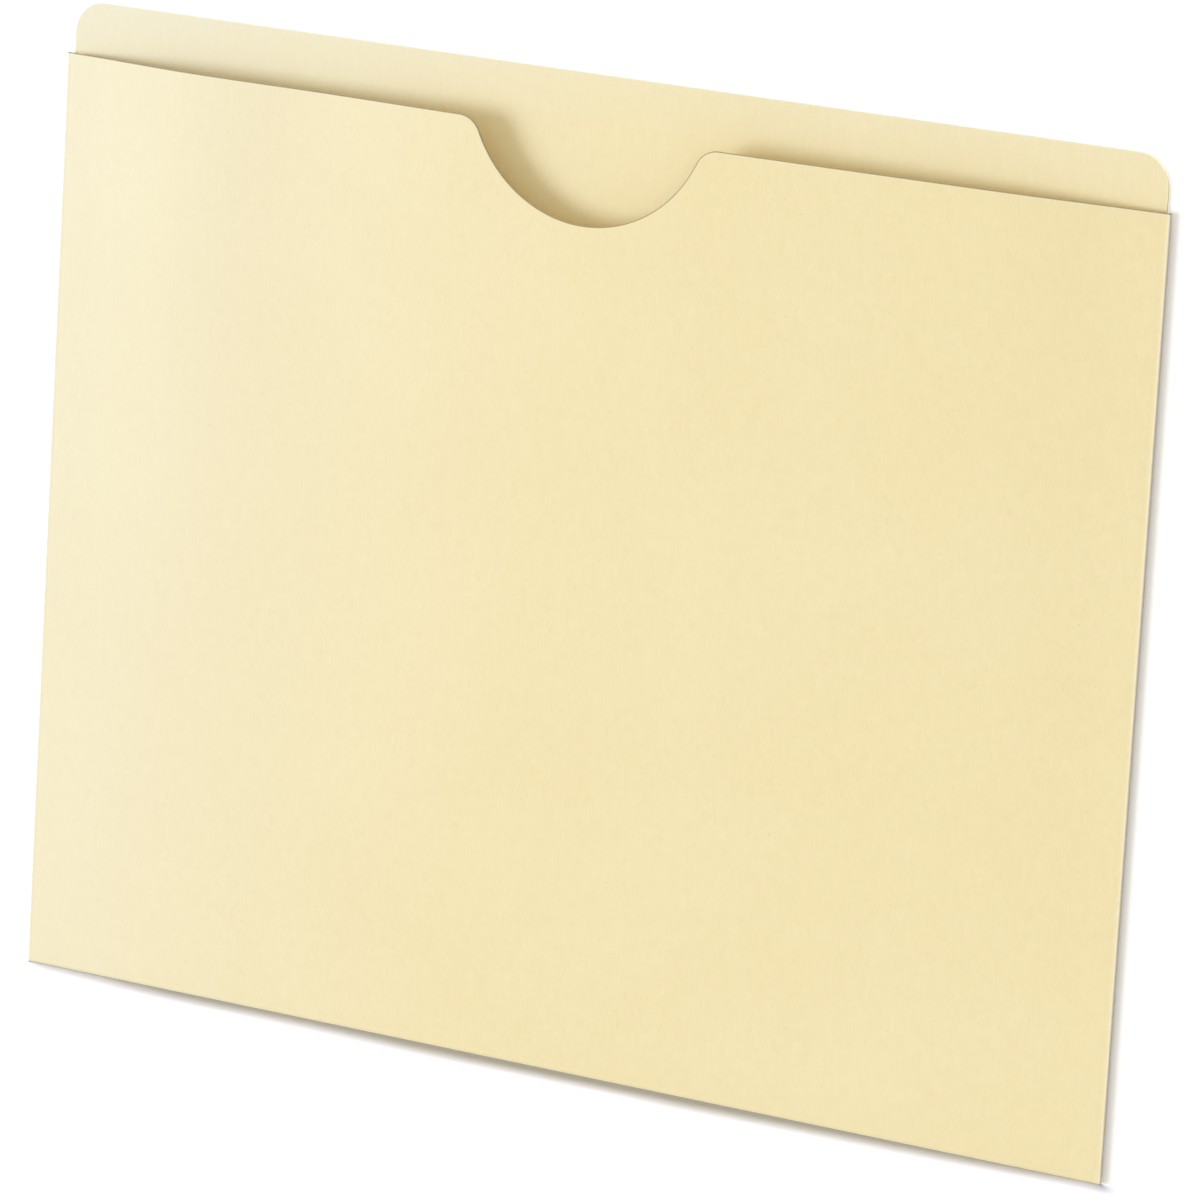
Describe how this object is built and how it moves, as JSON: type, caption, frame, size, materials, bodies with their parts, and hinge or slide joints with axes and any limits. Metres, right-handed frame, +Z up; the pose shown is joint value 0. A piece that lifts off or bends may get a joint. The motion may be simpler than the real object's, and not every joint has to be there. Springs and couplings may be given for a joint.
{
  "type": "file jacket",
  "caption": "Flat manila file jacket: a card pocket with glued sides, a folded bottom, a thumb cut in the front and a full-width tab, for keeping loose papers.",
  "frame": {"origin": "under the middle of the jacket's box, level with the underside of the bottom fold", "axes": "+X along the width to the viewer's right, +Y to the back, +Z up to the tab; the front panel faces -Y"},
  "size_m": [0.2984, 0.0069, 0.2413],
  "materials": {
    "manila": "uncoated manila card stock with a fine fibre grain",
    "adhesive": "dry film of white paper adhesive"
  },
  "bodies": {
    "pocket": {"back_panel": "manila", "bottom_fold": "manila", "left_side_fold": "manila", "right_side_fold": "manila", "left_side_flap": "manila", "right_side_flap": "manila", "left_glue_line": "adhesive", "right_glue_line": "adhesive"},
    "front": {"front_panel": "manila"}
  },
  "joints": [
    {"name": "mouth_opening", "type": "hinge", "parent": "pocket", "child": "front", "pos_m": [0, 0.00227, 0.00087], "axis": [1, 0, 0], "range_deg": [0, 6], "stiffness_Nm_per_rad": 0.04, "springref_deg": -5.73}
  ]
}
